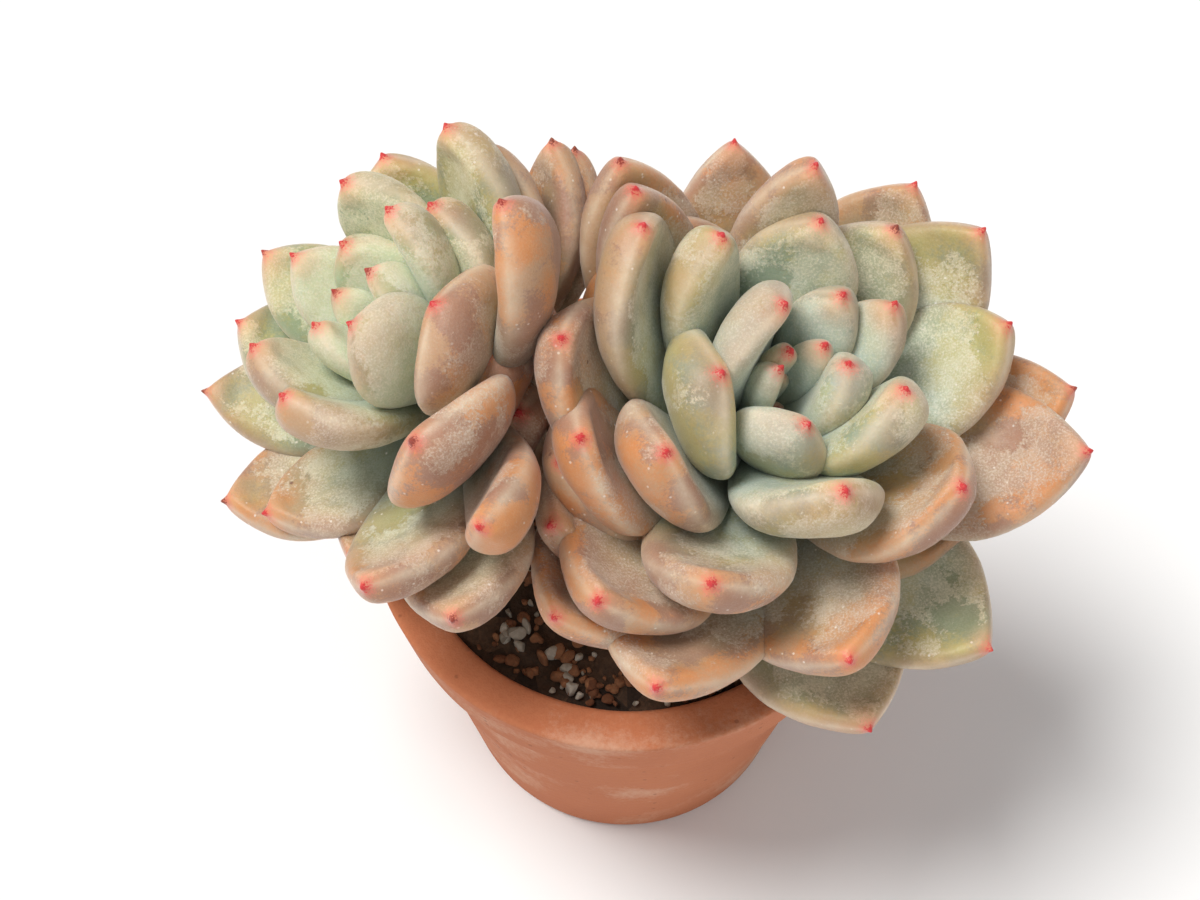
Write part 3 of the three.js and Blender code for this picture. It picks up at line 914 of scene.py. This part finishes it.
    def with_point(self, skin):
        """A peach end, and a red point with a stippled halo. The points of a few leaves have dried."""
        nodes = self.nodes
        near_tip = nodes.plus(self.from_tip, nodes.times(self.clouds, -5.0))
        peach = nodes.ranged(near_tip, -1.5, 4.0, 1.0, 0.0)
        peach = nodes.times(peach, nodes.ranged(self.rise, -0.4, 0.6, 0.15, 0.5))
        skin = nodes.mixed(peach, skin, self.tones.peach)
        reach = nodes.plus(self.from_tip, nodes.times(nodes.plus(self.mottle, self.grain), -1.2))
        skin = nodes.mixed(nodes.ranged(reach, -0.6, 1.9, 0.7, 0.0), skin, HALO)
        point = nodes.mixed(nodes.ranged(self.draw, 0.75, 0.95), RED_POINT, DRY_POINT)
        return nodes.mixed(nodes.ranged(reach, -0.7, 0.15, 1.0, 0.0), skin, point)

    def relief(self, rubbed):
        """Fine pores and grain, a little lower where the powder is gone."""
        nodes = self.nodes
        height = nodes.plus(nodes.times(self.grain, 0.12), self.pores, nodes.times(rubbed, -0.25))
        return nodes.relief(height, strength=0.6, depth=0.3)


def leaf_material(name, tones, effects):
    """Thick leaf under a waxy bloom: pale green at the heart, olive and tan to orange outside."""
    material, nodes, shader = new_material(
        name, Subsurface_Weight=0.25, Subsurface_Radius=(0.004, 0.0024, 0.0014), Subsurface_Scale=1.0,
        Sheen_Weight=0.2, Sheen_Roughness=0.4, IOR=1.42,
    )
    leaf = LeafSkin(nodes, tones, effects)
    warmth = leaf.warmth()
    rubbed = leaf.rubbed()
    film = leaf.film(rubbed)
    skin = nodes.mixed(film, leaf.flesh(warmth), leaf.bloom(warmth))
    skin = leaf.with_grains_and_glints(skin, film)
    skin = leaf.with_painted_shade_and_pale_margins(skin)
    skin = leaf.with_specks(skin)
    skin = leaf.with_point(skin)
    set_surface(nodes, shader, skin, nodes.ranged(film, 0.1, 0.6, 0.4, 0.7), leaf.relief(rubbed))
    return material


def terracotta_material(effects):
    """Unglazed fired clay, with pale salts, dark specks and a fine dusty grain."""
    material, nodes, shader = new_material("terracotta", IOR=1.45)
    spot = nodes.spot()
    salts = nodes.effect(effects["patches"], spot, Scale=55.0, Cover=0.34, Softness=0.09)
    speck = nodes.effect(effects["specks"], spot, Scale=420.0, Size=0.2, Share=0.25)
    grain = nodes.effect(effects["grain"], spot, Scale=1400.0)
    clouds = nodes.noise(spot, 38, detail=4.0, roughness=0.6)
    clay = nodes.mixed(clouds, colour(176, 98, 62), colour(201, 124, 84))
    clay = nodes.mixed(nodes.times(salts, 0.45), clay, colour(222, 190, 165))
    clay = nodes.mixed(nodes.times(speck, 0.5), clay, colour(128, 66, 42))
    clay = nodes.mixed(nodes.times(grain, 0.18), clay, colour(214, 150, 112))
    height = nodes.plus(nodes.times(grain, 0.35), nodes.noise(spot, 260, detail=3.0))
    roughness = nodes.ranged(grain, 0.0, 1.0, 0.78, 0.92)
    set_surface(nodes, shader, clay, roughness, nodes.relief(height, strength=0.5, depth=0.3))
    return material


def grit_material(name, dark, light, effects):
    """Porous stone, where each cell of a few millimetres has its own tone between dark and light."""
    material, nodes, shader = new_material(name, IOR=1.45)
    spot = nodes.spot()
    _, tone = nodes.cells(spot, 210.0)
    pores = nodes.noise(spot, 900, detail=4.0, roughness=0.7)
    grain = nodes.effect(effects["grain"], spot, Scale=2600.0)
    stone = nodes.mixed(tone, dark, light)
    stone = nodes.mixed(nodes.ranged(pores, 0.4, 0.65, 0.45, 0.0), stone, dark)
    roughness = nodes.ranged(grain, 0.0, 1.0, 0.85, 0.97)
    set_surface(nodes, shader, stone, roughness, nodes.relief(pores, strength=0.7, depth=0.4))
    return material


def stem_material(effects):
    """Dry brown bark, with paler patches where old leaves have dropped."""
    material, nodes, shader = new_material("bark", IOR=1.45)
    spot = nodes.spot()
    pale = nodes.effect(effects["patches"], spot, Scale=190.0, Cover=0.4, Softness=0.06)
    clouds = nodes.noise(spot, 160, detail=4.0, roughness=0.65)
    ridges = nodes.noise(spot, 600, detail=4.0, roughness=0.7)
    bark = nodes.mixed(clouds, colour(96, 70, 52), colour(158, 128, 98))
    bark = nodes.mixed(nodes.times(pale, 0.5), bark, colour(190, 168, 138))
    roughness = nodes.ranged(pale, 0.0, 1.0, 0.72, 0.9)
    set_surface(nodes, shader, bark, roughness, nodes.relief(ridges, strength=0.7, depth=0.5))
    return material


def floor_material():
    material, nodes, shader = new_material("pale_floor", Roughness=0.85)
    pale = nodes.mixed(nodes.noise(nodes.spot(), 6.0), colour(240, 240, 240), colour(244, 244, 244))
    nodes.feed(shader["Base Color"], pale)
    return material


# Floor, light and camera


def make_floor():
    shape = bmesh.new()
    bmesh.ops.create_grid(shape, x_segments=2, y_segments=2, size=FLOOR_HALF_WIDTH * MM)
    mesh = finished_mesh("floor", shape)
    mesh.materials.append(floor_material())
    floor = new_object("floor", mesh)


def light_scene():
    world = bpy.data.worlds.new("soft_room")
    world.use_nodes = True
    world.node_tree.nodes["Background"].inputs["Color"].default_value = (1, 1, 1, 1)
    world.node_tree.nodes["Background"].inputs["Strength"].default_value = ROOM_LIGHT
    bpy.context.scene.world = world
    for name, place, strength, spread, tone in SUNS:
        lamp = bpy.data.lights.new(name, "SUN")
        lamp.energy = strength
        lamp.angle = math.radians(spread)
        lamp.color = tone
        new_object(name, lamp).rotation_euler = Vector(place).to_track_quat("Z", "Y").to_euler()
    bpy.context.scene.view_settings.view_transform = "Standard"


def place_camera():
    """The photograph's view: looking down at the heads from the front."""
    lens = bpy.data.cameras.new("camera")
    lens.lens = VIEW_LENS
    lens.clip_start = VIEW_NEAREST * MM
    camera = new_object("camera", lens)
    tilt = math.radians(VIEW_ELEVATION)
    back = Vector((0, -math.cos(tilt), math.sin(tilt)))
    camera.location = (VIEW_TARGET + back * VIEW_DISTANCE) * MM
    camera.rotation_euler = (math.radians(90 - VIEW_ELEVATION), 0, 0)
    bpy.context.scene.camera = camera


# The whole plant in its pot

draw = random.Random(7)
effects = {"patches": worn_patches(), "grain": powder_grain(), "specks": small_specks()}
make_pot(terracotta_material(effects))
compost = grit_material("compost", colour(48, 36, 28), colour(98, 74, 56), effects)
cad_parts["soil"].data.materials.clear()
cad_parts["soil"].data.materials.append(compost)
clay = grit_material("clay_granules", colour(112, 70, 46), colour(166, 116, 80), effects)
pumice = grit_material("pumice", colour(136, 126, 112), colour(206, 198, 184), effects)
make_grit("clay_grit", clay, draw, CLAY_STONES, CLAY_RADII)
make_grit("pumice_grit", pumice, draw, PUMICE_STONES, PUMICE_RADII)
make_stem(stem_material(effects))
for side, head, tones in (("right", HEAD_RIGHT, RIGHT_COLOURS), ("left", HEAD_LEFT, LEFT_COLOURS)):
    material = leaf_material("leaf_" + side, tones, effects)
    make_head("rosette_" + side, head, material, "head_" + side, draw)
make_floor()
light_scene()
place_camera()
